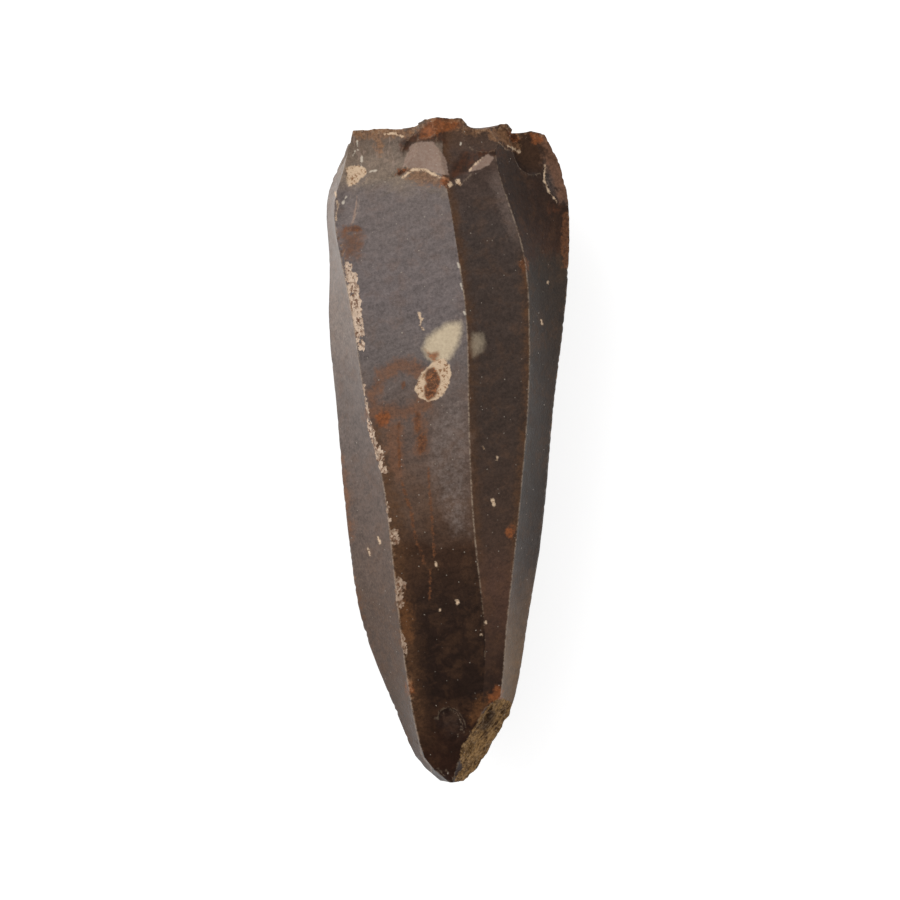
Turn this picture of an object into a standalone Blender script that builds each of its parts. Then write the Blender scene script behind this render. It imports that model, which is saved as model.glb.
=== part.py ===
"""Flint blade core: a struck stone, tapering from its striking platform to a blunt tip.

It lies on its flat back. The frame is in metres with +Z up, +Y towards the platform and +X to the
right of someone looking down on the blade scars. The origin is on the surface that the core lies on,
under the middle of its box.

The body is a loft: seven ridges run from the platform to the tip, and a hollow blade scar lies between
each ridge and the next. The smaller flakes are then struck off it, each by its own cutter.
"""

import math

import bmesh
import bpy
import numpy as np
from mathutils import Matrix, Vector, noise
from mathutils.bvhtree import BVHTree

MM = 0.001

# Driving sizes
CORE_LENGTH = 130.0 * MM
CORE_WIDTH = 47.2 * MM
CORE_HEIGHT = 37.0 * MM
PLATFORM_LEAN = math.radians(15.0)
SCAR_COLUMNS = 7
ROW_SPACING = 2.6 * MM
PLATFORM_RINGS = 6
TIP_RINGS = 2

# The body's seven ridges, in order around the section. The stations are shares of the length, from the
# platform to the tip. At each one a ridge stands at a share of the half width across, and at a share of
# the height. Hollow is how deep the scar after the ridge is, as a share of the scar's width, and lead is
# how far the ridge's top stands beyond the platform's plane, as a share of the length. Scars are flakes
# struck across the facet after the ridge: each row gives its middle and its reach along the length, its
# depth as a share of the facet's width, and how far it slants along the length as it crosses.
STATIONS = (
    0.00, 0.03, 0.06, 0.09, 0.12, 0.20, 0.30, 0.42,
    0.54, 0.66, 0.76, 0.86, 0.94, 0.975, 1.00,
)
RIDGES = {
    "left_edge": {
        "across": (
            -0.76, -0.81, -0.87, -0.95, -1.0, -0.99, -0.99, -0.935,
            -0.88, -0.81, -0.715, -0.515, -0.335, -0.225, -0.07,
        ),
        "height": (
            0.58, 0.58, 0.58, 0.58, 0.59, 0.60, 0.61, 0.61,
            0.60, 0.57, 0.53, 0.49, 0.46, 0.44, 0.41,
        ),
        "hollow": 0.03,
        "lead": -0.003,
        "scars": (),
    },
    "left_blade_ridge": {
        "across": (
            -0.775, -0.79, -0.83, -0.87, -0.92, -0.90, -0.79, -0.685,
            -0.545, -0.46, -0.40, -0.325, -0.24, -0.15, 0.01,
        ),
        "height": (
            0.75, 0.79, 0.83, 0.86, 0.875, 0.90, 0.91, 0.915,
            0.90, 0.865, 0.82, 0.735, 0.64, 0.59, 0.55,
        ),
        "hollow": 0.014,
        "lead": -0.006,
        "scars": (),
    },
    "middle_ridge": {
        "across": (
            -0.05, -0.05, -0.045, -0.04, -0.01, 0.065, 0.14, 0.16,
            0.18, 0.23, 0.29, 0.28, 0.20, 0.13, 0.05,
        ),
        "height": (
            0.91, 0.94, 0.965, 0.98, 0.99, 1.00, 1.00, 1.00,
            0.985, 0.935, 0.865, 0.765, 0.665, 0.61, 0.57,
        ),
        "hollow": 0.030,
        "lead": 0.001,
        "scars": (),
    },
    "right_blade_ridge": {
        "across": (
            0.39, 0.38, 0.38, 0.41, 0.46, 0.60, 0.655, 0.65,
            0.60, 0.535, 0.475, 0.43, 0.34, 0.24, 0.10,
        ),
        "height": (
            0.84, 0.87, 0.89, 0.90, 0.905, 0.905, 0.905, 0.91,
            0.905, 0.875, 0.83, 0.745, 0.645, 0.585, 0.54,
        ),
        "hollow": 0.035,
        "lead": 0.002,
        "scars": (),
    },
    "right_edge": {
        "across": (
            0.74, 0.80, 0.89, 0.95, 0.98, 0.995, 0.955, 0.875,
            0.815, 0.74, 0.65, 0.56, 0.40, 0.265, 0.12,
        ),
        "height": (
            0.60, 0.60, 0.60, 0.61, 0.61, 0.61, 0.62, 0.63,
            0.63, 0.62, 0.60, 0.56, 0.50, 0.46, 0.42,
        ),
        "hollow": 0.035,
        "lead": 0.004,
        "scars": (
            (0.02, 0.10, 0.050, 0.03),
            (0.19, 0.12, 0.055, -0.02),
            (0.37, 0.10, 0.040, 0.04),
            (0.55, 0.13, 0.050, -0.03),
            (0.78, 0.14, 0.035, 0.05),
        ),
    },
    "right_back_ridge": {
        "across": (
            0.36, 0.41, 0.43, 0.42, 0.45, 0.49, 0.45, 0.42,
            0.41, 0.35, 0.33, 0.26, 0.20, 0.15, 0.09,
        ),
        "height": (
            0.00, 0.00, 0.00, 0.00, 0.00, 0.00, 0.00, 0.00,
            0.00, 0.015, 0.06, 0.15, 0.25, 0.30, 0.34,
        ),
        "hollow": 0.0,
        "lead": 0.0,
        "scars": (),
    },
    "left_back_ridge": {
        "across": (
            -0.42, -0.41, -0.43, -0.48, -0.50, -0.48, -0.46, -0.46,
            -0.40, -0.34, -0.30, -0.20, -0.12, -0.07, 0.00,
        ),
        "height": (
            0.00, 0.00, 0.00, 0.00, 0.00, 0.00, 0.00, 0.00,
            0.00, 0.015, 0.06, 0.15, 0.25, 0.30, 0.34,
        ),
        "hollow": 0.035,
        "lead": 0.0,
        "scars": (
            (0.05, 0.12, 0.055, -0.03),
            (0.26, 0.13, 0.050, 0.03),
            (0.45, 0.09, 0.035, -0.02),
            (0.62, 0.12, 0.050, 0.04),
            (0.84, 0.13, 0.040, -0.04),
        ),
    },
}
# A scar is deeper under the point where its blade was struck
BULB_DEPTH = 1.2
BULB_LENGTH = 0.07

# Flakes struck off the front. Each row gives the share of the half width across, the share of the length
# from the platform, the flake's width, length and bite in millimetres, its slant in degrees, and how
# blunt its ends are, from 1 for a round end to 3 for a steep step.
FRONT_FLAKES = (
    (-0.60, 0.030, 13.0, 15.0, 1.0, 4.0, 1.5),
    (-0.18, 0.064, 9.0, 8.6, 0.9, 8.0, 2.2),
    (0.06, 0.041, 9.4, 14.0, 1.2, 10.0, 1.5),
    (0.31, 0.020, 7.6, 9.2, 1.1, -12.0, 1.5),
    (0.45, 0.022, 8.5, 5.0, 0.7, -48.0, 1.3),
    (0.68, 0.050, 9.0, 9.0, 0.7, 14.0, 1.3),
    (-0.84, 0.125, 4.6, 13.0, 0.5, -8.0, 1.0),
    (-0.76, 0.085, 4.0, 4.0, 0.6, 20.0, 1.6),
    (0.90, 0.085, 4.4, 12.0, 0.55, 12.0, 1.2),
    (0.03, 0.917, 4.4, 7.0, 0.3, 12.0, 1.0),
    (0.33, 0.897, 2.6, 4.6, 0.9, -30.0, 1.0),
)
# Flakes struck off the platform: across, height, and the rest as above
PLATFORM_FLAKES = (
    (0.05, 0.40, 28.0, 20.0, 1.3, 15.0, 1.0),
    (-0.52, 0.42, 14.0, 18.0, 1.0, -20.0, 1.0),
    (0.48, 0.30, 13.0, 15.0, 1.0, 30.0, 1.0),
    (-0.36, 0.79, 11.0, 7.0, 0.9, 0.0, 1.2),
    (0.25, 0.81, 8.5, 7.0, 1.5, 0.0, 1.2),
    (0.56, 0.68, 7.0, 6.0, 0.9, 0.0, 1.2),
)
# Flakes struck along the edges of the resting facet: across, along, and the rest as above
UNDER_FLAKES = (
    (-0.45, 0.17, 8.0, 20.0, 0.8, 10.0, 1.1),
    (0.41, 0.36, 8.0, 22.0, 0.7, -8.0, 1.1),
    (-0.39, 0.52, 7.0, 15.0, 0.6, 8.0, 1.1),
    (0.39, 0.08, 8.0, 13.0, 0.7, 15.0, 1.1),
)

# The broken tip: a rough face that cuts the right of the tip away
BREAK_POINT = (0.31, 0.930, 0.60)
BREAK_FACING = (0.66, -0.56, 0.50)
BREAK_SIZE = 26.0 * MM
BREAK_BELLY = 1.2 * MM
BREAK_REACH = 7.5 * MM
BREAK_ROUGHNESS = 0.5 * MM
BREAK_GRAIN = 3.0 * MM
BREAK_CUTS = 11

# How far a cutter's middle stands above the surface, as a share of its own depth
CUTTER_RISE = 0.6
# A cutter's belly isn't quite round: how far it swells, as a share, and how many swells it has
CUTTER_WAVE = 0.16
CUTTER_WAVES = 1.3
CUTTER_FINENESS = 3

# Where a flake's aim starts on the axis that it is struck along, as a share of the box
HALFWAY = 0.5

SHARP_ANGLE = math.radians(20.0)
FLINT_COLOUR = (0.105, 0.085, 0.078, 1.0)
FLINT_ROUGHNESS = 0.38


def clear_scene():
    """Removes the objects of the scene that Blender starts with."""
    for thing in list(bpy.data.objects):
        bpy.data.objects.remove(thing)


def new_collection(name):
    """A collection in the scene with that name."""
    collection = bpy.data.collections.new(name)
    bpy.context.scene.collection.children.link(collection)
    return collection


def flint_material():
    """Grey-brown flint with a waxy lustre."""
    material = bpy.data.materials.new("flint")
    material.use_nodes = True
    shader = material.node_tree.nodes["Principled BSDF"]
    shader.inputs["Base Color"].default_value = FLINT_COLOUR
    shader.inputs["Roughness"].default_value = FLINT_ROUGHNESS
    shader.inputs["Metallic"].default_value = 0.0
    return material


def smooth_curve(values):
    """A natural cubic through values at STATIONS, as a function of the share of the length."""
    knots = np.array(STATIONS)
    heights = np.array(values, float)
    gaps = np.diff(knots)
    slopes = np.diff(heights) / gaps
    size = len(knots)
    matrix = np.eye(size)
    right = np.zeros(size)
    for i in range(1, size - 1):
        matrix[i, i - 1 : i + 2] = gaps[i - 1], 2 * (gaps[i - 1] + gaps[i]), gaps[i]
        right[i] = 6 * (slopes[i] - slopes[i - 1])
    bends = np.linalg.solve(matrix, right)

    def at(share):
        share = min(max(share, 0.0), 1.0)
        i = min(int(np.searchsorted(knots, share, side="right")) - 1, size - 2)
        gap = gaps[i]
        before = (knots[i + 1] - share) / gap
        after = (share - knots[i]) / gap
        bend = (before**3 - before) * bends[i] + (after**3 - after) * bends[i + 1]
        return before * heights[i] + after * heights[i + 1] + bend * gap * gap / 6

    return at


def platform_reach(height):
    """Where the leaning platform lies along Y, at a height above the table."""
    return CORE_LENGTH / 2 - (CORE_HEIGHT - height) * math.tan(PLATFORM_LEAN)


def ridge_curves():
    """For each ridge, a function from a share of the way down it to a point."""

    def curve_of(ridge):
        across = smooth_curve(ridge["across"])
        height = smooth_curve(ridge["height"])

        def point_at(share):
            top = platform_reach(height(share) * CORE_HEIGHT) + ridge["lead"] * CORE_LENGTH
            y = top + (-CORE_LENGTH / 2 - top) * share
            station = 0.5 - y / CORE_LENGTH
            x = across(station) * CORE_WIDTH / 2
            return Vector((x, y, max(height(station), 0.0) * CORE_HEIGHT))

        return point_at

    return [curve_of(ridge) for ridge in RIDGES.values()]


def scar_depth(scars, share, part):
    """How deep the scars across a facet are, at a share of the length and a part of the way over it."""
    depths = [
        depth * (1 - ((share + slant * (part - 0.5) - middle) / reach) ** 2)
        for middle, reach, depth, slant in scars
    ]
    return max([0.0, *depths])


def section(curves, share):
    """The points of one section of the body, SCAR_COLUMNS of them for each scar."""
    corners = [curve(share) for curve in curves]
    bulb = 1.0 + BULB_DEPTH * math.exp(-((share / BULB_LENGTH) ** 2))
    points = []
    for i, (start, ridge) in enumerate(zip(corners, RIDGES.values())):
        chord = corners[(i + 1) % len(corners)] - start
        inwards = Vector((chord.z, 0.0, -chord.x))
        for column in range(SCAR_COLUMNS):
            part = column / SCAR_COLUMNS
            arch = 4 * part * (1 - part)
            sag = ridge["hollow"] * bulb * arch
            sag += scar_depth(ridge["scars"], share, part) * math.sqrt(arch)
            points.append(start + chord * part + inwards * sag)
    return points


def add_ring(mesh, ring, points):
    """Extrudes the ring of vertices round an open end, moves the new ring to points and returns it."""
    places = {tuple(vertex.co): place for place, vertex in enumerate(ring)}
    edges = [mesh.edges.get(pair) for pair in zip(ring, ring[1:] + ring[:1])]
    made = bmesh.ops.extrude_edge_only(mesh, edges=edges)["geom"]
    fresh = [v for v in made if isinstance(v, bmesh.types.BMVert)]
    fresh.sort(key=lambda vertex: places[tuple(vertex.co)])
    for vertex, point in zip(fresh, points):
        vertex.co = point
    return fresh


def close_end(mesh, ring, steps):
    """Closes an open end with rings that shrink to its middle."""
    rim = [vertex.co.copy() for vertex in ring]
    middle = sum(rim, Vector()) / len(rim)
    for step in range(1, steps):
        keep = 1 - step / steps
        ring = add_ring(mesh, ring, [middle + (point - middle) * keep for point in rim])
    inner = add_ring(mesh, ring, [middle] * len(ring))
    bmesh.ops.pointmerge(mesh, verts=inner, merge_co=middle)


def core_body(material, collection):
    """The body: a loft through sections from the platform to the tip, closed at both ends."""
    curves = ridge_curves()
    rows = round(CORE_LENGTH / ROW_SPACING)
    mesh = bmesh.new()
    first = [mesh.verts.new(point) for point in section(curves, 0.0)]
    for pair in zip(first, first[1:] + first[:1]):
        mesh.edges.new(pair)
    ring = first
    for row in range(1, rows + 1):
        ring = add_ring(mesh, ring, section(curves, row / rows))
    close_end(mesh, ring, TIP_RINGS)
    close_end(mesh, first, PLATFORM_RINGS)
    mesh.normal_update()
    bmesh.ops.recalc_face_normals(mesh, faces=mesh.faces)
    bmesh.ops.triangulate(mesh, faces=mesh.faces, quad_method="SHORT_EDGE")
    data = bpy.data.meshes.new("flint_core")
    mesh.to_mesh(data)
    mesh.free()
    data.materials.append(material)
    body = bpy.data.objects.new("flint_core", data)
    collection.objects.link(body)
    return body


def add_cutter(mesh, name, collection):
    """Makes a cutter object of a mesh in world space."""
    data = bpy.data.meshes.new(name)
    mesh.to_mesh(data)
    mesh.free()
    cutter = bpy.data.objects.new(name, data)
    cutter.hide_render = True
    cutter.display_type = "WIRE"
    collection.objects.link(cutter)


def place_in_box(across, along, height):
    """The point at shares of the half width, of the length from the platform, and of the height."""
    return Vector((across * CORE_WIDTH / 2, (0.5 - along) * CORE_LENGTH, height * CORE_HEIGHT))


def flake_cutter(name, collection, surface, aim, facing, row):
    """A round-bellied cutter whose belly bites into the body where a ray from outside meets it."""
    width, length, bite = (size * MM for size in row[2:5])
    slant, blunt = math.radians(row[5]), row[6]
    facing = Vector(facing).normalized()
    reach = CORE_LENGTH
    hit, normal, _, _ = surface.ray_cast(aim + facing * reach, -facing)
    outwards = (normal + facing).normalized()
    down = Vector((0.0, -1.0, 0.0)) if abs(facing.y) < abs(facing.z) else Vector((0.0, 0.0, -1.0))
    down = (down - outwards * down.dot(outwards)).normalized()
    down = Matrix.Rotation(slant, 3, outwards) @ down
    side = down.cross(outwards)
    depth = bite / (1 - CUTTER_RISE)
    spread = 2 * math.sqrt(1 - CUTTER_RISE**2)
    mesh = bmesh.new()
    bmesh.ops.create_icosphere(mesh, subdivisions=CUTTER_FINENESS, radius=1.0)
    middle = hit + outwards * (depth - bite)
    for vertex in mesh.verts:
        wave = 1 + CUTTER_WAVE * noise.noise(vertex.co * CUTTER_WAVES + hit / width)
        across, along, up = vertex.co * wave
        along = math.copysign(abs(along) ** (1 / blunt), along)
        wide = side * (across * width / spread)
        long = down * (along * length / spread)
        vertex.co = middle + wide + long + outwards * (up * depth)
    add_cutter(mesh, name, collection)


def strike_flakes(body, collection):
    """Makes the cutters of all the flakes, side by side."""
    bpy.context.view_layer.update()
    surface = BVHTree.FromObject(body, bpy.context.evaluated_depsgraph_get())
    for number, row in enumerate(FRONT_FLAKES):
        aim = place_in_box(row[0], row[1], HALFWAY)
        flake_cutter(f"front_flake_{number}", collection, surface, aim, (0, 0, 1), row)
    for number, row in enumerate(UNDER_FLAKES):
        aim = place_in_box(row[0], row[1], HALFWAY)
        flake_cutter(f"under_flake_{number}", collection, surface, aim, (0, 0, -1), row)
    for number, row in enumerate(PLATFORM_FLAKES):
        aim = place_in_box(row[0], HALFWAY, row[1])
        flake_cutter(f"platform_flake_{number}", collection, surface, aim, (0, 1, 0), row)


def break_cutter(collection):
    """A block whose near face is rough, set across the right of the tip."""
    point = place_in_box(*BREAK_POINT)
    facing = Vector(BREAK_FACING).normalized()
    turn = facing.to_track_quat("Z", "Y").to_matrix().to_4x4()
    mesh = bmesh.new()
    bmesh.ops.create_cube(mesh, size=1.0)
    bmesh.ops.subdivide_edges(mesh, edges=mesh.edges, cuts=BREAK_CUTS, use_grid_fill=True)
    near_face = BREAK_SIZE / (2 * (BREAK_CUTS + 1))
    for vertex in mesh.verts:
        vertex.co = vertex.co * BREAK_SIZE + Vector((0.0, 0.0, BREAK_SIZE / 2))
        if vertex.co.z < near_face:
            vertex.co.z -= BREAK_BELLY * math.exp(-((vertex.co.xy.length / BREAK_REACH) ** 2))
            vertex.co.z += BREAK_ROUGHNESS * noise.fractal(vertex.co / BREAK_GRAIN, 0.8, 2.0, 3)
    mesh.transform(Matrix.Translation(point) @ turn)
    add_cutter(mesh, "tip_break", collection)


def islands_of(mesh):
    """The mesh's vertices, as one list for each separate piece."""
    left = set(mesh.verts)
    islands = []
    while left:
        island = []
        edge_of_search = [left.pop()]
        while edge_of_search:
            vertex = edge_of_search.pop()
            island.append(vertex)
            near = {edge.other_vert(vertex) for edge in vertex.link_edges} & left
            left -= near
            edge_of_search.extend(near)
        islands.append(island)
    return islands


def cut_away(body, cutters):
    """Cuts every flake off the body, sweeps up loose crumbs and stands the rest's middle on the origin."""
    for cutter in cutters.objects:
        cut = body.modifiers.new(cutter.name, "BOOLEAN")
        cut.operation = "DIFFERENCE"
        cut.object = cutter
        cut.solver = "EXACT"
    bpy.context.view_layer.update()
    struck = body.evaluated_get(bpy.context.evaluated_depsgraph_get())
    mesh = bmesh.new()
    mesh.from_mesh(struck.data)
    crumbs = sorted(islands_of(mesh), key=len)[:-1]
    bmesh.ops.delete(mesh, geom=[vertex for crumb in crumbs for vertex in crumb], context="VERTS")
    places = np.array([vertex.co for vertex in mesh.verts])
    middle = (places.min(axis=0) + places.max(axis=0)) / 2
    bmesh.ops.translate(mesh, verts=mesh.verts, vec=(-middle[0], -middle[1], -places[:, 2].min()))
    body.modifiers.clear()
    mesh.to_mesh(body.data)
    mesh.free()
    body.data.shade_smooth()
    body.data.set_sharp_from_angle(angle=SHARP_ANGLE)


def main():
    clear_scene()
    core = new_collection("flint_blade_core")
    cutters = new_collection("flake_cutters")
    body = core_body(flint_material(), core)
    strike_flakes(body, cutters)
    break_cutter(cutters)
    cut_away(body, cutters)


main()
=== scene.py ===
"""Looks of the flint blade core: its fine flaking and its stone, on a pale floor in soft light.

The core lies on its back and the camera looks straight down on the blade scars. Marks on the stone are
placed by where they are seen in the view, which is 900 steps wide and 900 high, and are carried down the
sight lines on to the stone. A step is a fifth of a millimetre at the core's middle height.
"""

import math
import random

import bmesh
import bpy
import numpy as np
from mathutils import Matrix, Vector, noise
from mathutils.bvhtree import BVHTree


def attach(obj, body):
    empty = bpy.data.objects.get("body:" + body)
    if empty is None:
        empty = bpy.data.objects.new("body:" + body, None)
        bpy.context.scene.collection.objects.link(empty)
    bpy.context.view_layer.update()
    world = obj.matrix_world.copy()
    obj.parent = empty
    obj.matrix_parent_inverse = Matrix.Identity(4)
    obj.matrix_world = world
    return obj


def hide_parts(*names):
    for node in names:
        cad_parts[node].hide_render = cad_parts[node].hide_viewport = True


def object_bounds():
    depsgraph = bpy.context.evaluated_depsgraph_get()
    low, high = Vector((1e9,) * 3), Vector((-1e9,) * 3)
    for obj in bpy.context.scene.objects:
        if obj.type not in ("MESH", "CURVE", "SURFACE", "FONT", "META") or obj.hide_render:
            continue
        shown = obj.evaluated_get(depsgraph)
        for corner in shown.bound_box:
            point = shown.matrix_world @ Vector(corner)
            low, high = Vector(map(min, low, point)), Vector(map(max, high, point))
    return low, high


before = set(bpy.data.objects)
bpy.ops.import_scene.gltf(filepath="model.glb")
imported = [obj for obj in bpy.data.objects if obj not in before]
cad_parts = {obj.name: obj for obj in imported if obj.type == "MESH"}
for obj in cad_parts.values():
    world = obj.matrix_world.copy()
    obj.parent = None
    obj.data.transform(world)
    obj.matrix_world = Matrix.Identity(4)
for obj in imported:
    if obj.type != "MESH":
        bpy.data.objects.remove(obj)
bpy.context.view_layer.update()
CAD_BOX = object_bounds()

MM = 0.001

# The view
VIEW_STEP = 0.195 * MM
VIEW_MIDDLE = 450
CAMERA_REACH = 0.95
CAMERA_PLACE = Vector((0.39 * MM, 0.40 * MM, 0.972))
SENSOR = 36.0

# Lines seen in the view, each a row of (across, down): the three blade ridges
LEFT_RIDGE = (
    (334, 190), (333, 215), (337, 228), (343, 255), (347, 265), (352, 310), (357, 345), (362, 385),
    (369, 430), (378, 465), (386, 505), (393, 550), (397, 600), (401, 636), (407, 675), (411, 710),
    (419, 750), (430, 768),
)
MIDDLE_RIDGE = (
    (442, 183), (446, 197), (452, 220), (461, 265), (463, 305), (467, 340), (468, 385), (467, 400),
    (470, 440), (470, 500), (474, 540), (480, 600), (485, 640), (487, 720), (470, 770),
)
RIGHT_RIDGE = (
    (497, 165), (500, 180), (510, 205), (519, 240), (526, 265), (527, 340), (527, 400), (523, 450),
    (519, 510), (514, 550), (509, 580), (504, 620), (500, 660), (499, 700), (490, 760),
)

RIDGES = (LEFT_RIDGE, MIDDLE_RIDGE, RIGHT_RIDGE)

# Marks on the stone, as outlines seen in the view
CORTEX = (
    (497, 699), (504, 699), (512, 703), (512, 712), (506, 722), (497, 738), (486, 756), (476, 769),
    (467, 784), (455, 784), (455, 776), (462, 768), (460, 756), (461, 747), (468, 737), (476, 724),
    (484, 712), (490, 704),
)
AREAS = {
    "cortex": (CORTEX,),
    "cream": (
        ((445, 359), (449, 365), (451, 374), (449, 384), (444, 393), (437, 400), (428, 401), (420, 398),
         (415, 390), (417, 382), (422, 373), (430, 366), (434, 361), (439, 358)),
        ((346, 168), (352, 166), (359, 165), (365, 168), (367, 173), (361, 178), (356, 184), (349, 186),
         (347, 179)),
        ((447, 184), (450, 182), (453, 185), (450, 188)),
        ((455, 180), (459, 179), (462, 184), (460, 187), (457, 184)),
    ),
    "glow": (
        ((447, 324), (461, 322), (461, 334), (457, 345), (449, 359), (437, 364), (428, 358), (423, 349),
         (427, 338), (437, 330)),
        ((474, 334), (482, 335), (485, 343), (480, 352), (474, 356), (471, 345)),
    ),
    "brown": (
        ((427, 370), (433, 368), (438, 372), (440, 381), (438, 390), (435, 397), (429, 400), (424, 396),
         (424, 389), (427, 383), (424, 377)),
        ((506, 131), (512, 130), (518, 134), (520, 141), (514, 144), (509, 138)),
        ((395, 176), (398, 169), (406, 168), (409, 170), (402, 175)),
    ),
    "rust": (
        ((343, 226), (352, 225), (361, 227), (361, 231), (350, 232), (343, 232)),
        ((418, 436), (425, 434), (428, 442), (424, 452), (418, 455), (417, 446)),
        ((415, 412), (420, 412), (420, 424), (420, 434), (416, 432), (414, 422)),
        ((563, 212), (570, 212), (570, 268), (563, 268), (561, 240)),
        ((519, 263), (524, 257), (529, 262), (528, 271), (522, 272)),
        ((400, 384), (404, 382), (406, 387), (402, 390)),
    ),
    "orange": (
        ((419, 129), (427, 120), (438, 117), (453, 118), (461, 124), (450, 129), (439, 133), (429, 139),
         (421, 137)),
        ((529, 134), (538, 132), (542, 139), (537, 144), (531, 143)),
        ((441, 176), (447, 179), (448, 188), (443, 186), (440, 181)),
        ((375, 418), (382, 411), (389, 412), (391, 419), (385, 426), (378, 428)),
        ((425, 350), (431, 353), (438, 350), (440, 355), (435, 361), (428, 357)),
        ((505, 529), (512, 526), (515, 531), (511, 538), (506, 535)),
        ((498, 684), (502, 690), (502, 699), (496, 703), (489, 702), (489, 697), (494, 691)),
        ((408, 680), (412, 683), (413, 692), (409, 694), (407, 687)),
    ),
    "pale": (
        ((403, 167), (404, 160), (409, 151), (411, 144), (422, 142), (433, 142), (441, 151), (446, 160),
         (449, 176), (437, 173), (425, 169)),
        ((467, 172), (474, 164), (481, 158), (488, 154), (494, 158), (489, 165), (478, 170)),
    ),
    # Dark-brown stone, and a painted shadow under the overhang at the platform's edge (the first outline)
    "dark": (
        ((399, 152), (400, 141), (411, 134), (421, 131), (445, 128), (446, 143), (434, 142), (413, 143),
         (408, 152)),
        ((462, 152), (480, 150), (500, 150), (505, 156), (498, 157), (489, 153), (480, 157), (467, 171),
         (452, 179), (449, 172)),
        ((480, 730), (483, 719), (490, 710), (497, 712), (493, 722), (485, 733)),
        ((549, 203), (557, 205), (566, 206), (560, 212), (548, 214)),
    ),
    "smoke": (
        ((438, 402), (466, 400), (469, 440), (469, 500), (468, 535), (452, 535), (438, 505), (430, 465),
         (432, 430)),
        ((440, 726), (443, 716), (449, 711), (458, 713), (463, 726), (462, 740), (455, 745), (446, 740)),
        ((546, 160), (560, 160), (566, 178), (569, 206), (558, 202), (549, 192), (545, 180)),
    ),
    "haze": (
        ((544, 138), (552, 142), (560, 155), (564, 170), (568, 200), (560, 200), (552, 175), (545, 160)),
        ((342, 232), (361, 232), (360, 244), (354, 256), (346, 258), (343, 245)),
        ((336, 455), (340, 452), (344, 475), (348, 505), (351, 530), (346, 545), (338, 520), (334, 480)),
        ((348, 585), (354, 590), (363, 620), (360, 634), (350, 612)),
        ((470, 716), (478, 702), (490, 698), (488, 706), (480, 717), (472, 726)),
        ((388, 425), (401, 425), (403, 450), (400, 480), (392, 470), (389, 445)),
        ((398, 600), (410, 604), (411, 640), (403, 640), (399, 620)),
    ),
    "tan": (
        ((352, 130), (372, 127), (400, 127), (412, 132), (404, 137), (392, 138), (376, 140), (366, 137),
         (356, 139)),
        ((408, 172), (416, 169), (427, 171), (440, 178), (445, 184), (436, 186), (420, 184), (406, 180)),
        ((489, 131), (500, 127), (509, 131), (514, 141), (521, 149), (520, 153), (510, 149), (499, 142),
         (490, 138)),
        ((374, 132), (382, 134), (383, 146), (379, 156), (375, 146)),
        ((455, 126), (466, 128), (476, 130), (486, 128), (486, 131), (474, 134), (458, 131)),
    ),
}
# Thin marks: width in steps, then the places that the line joins
LINES = {
    "cream": (
        (1.6, (385, 134), (393, 133), (402, 136)),
        (2.0, (403, 177), (408, 173), (415, 169), (425, 170), (435, 175), (443, 178)),
        (1.7, (508, 146), (514, 149), (520, 152)), (1.5, (545, 166), (544, 180), (549, 192), (557, 202)),
        (1.4, (335, 192), (338, 205), (336, 220)), (2.4, (419, 314), (420, 318)),
        (1.7, (422, 319), (420, 325), (423, 330)), (1.4, (378, 537), (380, 543)),
        (1.1, (368, 549), (370, 555)), (1.0, (435, 562), (438, 570)), (1.8, (483, 447), (484, 449)),
        (1.5, (497, 457), (497, 460)), (2.8, (492, 500), (494, 504)), (2.8, (457, 601), (458, 603)),
        (1.7, (440, 610), (440, 611)), (1.8, (481, 634), (482, 635)), (1.2, (486, 621), (486, 623)),
        (1.4, (541, 320), (542, 324)), (1.2, (548, 282), (548, 285)),
        (1.4, (469, 171), (476, 163), (483, 158)),
    ),
    # Painted glints: small bright highlights on the stone
    "white": (
        (1.1, (355, 151), (353, 155)), (1.4, (362, 157), (361, 166)), (1.0, (370, 172), (377, 170)),
        (1.4, (346, 197), (343, 203)), (1.5, (461, 143), (460, 145)), (0.8, (357, 141), (358, 150)),
        (1.0, (458, 263), (459, 267)), (1.2, (461, 284), (462, 289)), (1.2, (464, 312), (465, 315)),
    ),
    "rust": (
        (1.8, (399, 424), (398, 436), (399, 450), (400, 470)),
        (1.8, (401, 480), (406, 495), (411, 512), (414, 530), (418, 546), (424, 562)),
        (1.8, (428, 468), (430, 495), (432, 520), (434, 545), (434, 558)),
        (1.2, (431, 570), (430, 585), (430, 600)), (1.6, (401, 635), (401, 639)),
    ),
    "haze": (
        (13.0, (383, 374), (396, 367), (411, 366), (420, 370)), (9.0, (380, 380), (373, 395), (372, 408)),
        (13.0, (372, 411), (386, 411), (400, 412), (414, 410), (427, 402)),
        (9.0, (416, 412), (421, 430), (421, 452)),
    ),
    "pale": (
        (1.4, (357, 196), (356, 206), (353, 222)),
    ),
}
MARK_REACH = 12.0


def inside_by(outline, seen):
    """How far inside a closed outline each place of the view is, in steps; negative outside."""
    corners = np.array(outline, float)
    gap = np.full(len(seen), np.inf)
    inside = np.zeros(len(seen), bool)
    for start, end in zip(corners, np.roll(corners, -1, axis=0)):
        edge = end - start
        away = seen - start
        along = np.clip(away @ edge / (edge @ edge), 0, 1)
        gap = np.minimum(gap, np.linalg.norm(away - along[:, None] * edge, axis=1))
        if start[1] != end[1]:
            straddles = (start[1] > seen[:, 1]) != (end[1] > seen[:, 1])
            inside ^= straddles & (seen[:, 0] < start[0] + away[:, 1] / edge[1] * edge[0])
    return np.where(inside, gap, -gap)


def within_line(line, seen):
    """How far inside a drawn line each place of the view is, in steps; negative outside."""
    width, places = line[0], np.array(line[1:], float)
    gap = np.full(len(seen), np.inf)
    for start, end in zip(places[:-1], places[1:]):
        edge = end - start
        away = seen - start
        along = np.clip(away @ edge / (edge @ edge), 0, 1)
        gap = np.minimum(gap, np.linalg.norm(away - along[:, None] * edge, axis=1))
    return width / 2 - gap


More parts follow.
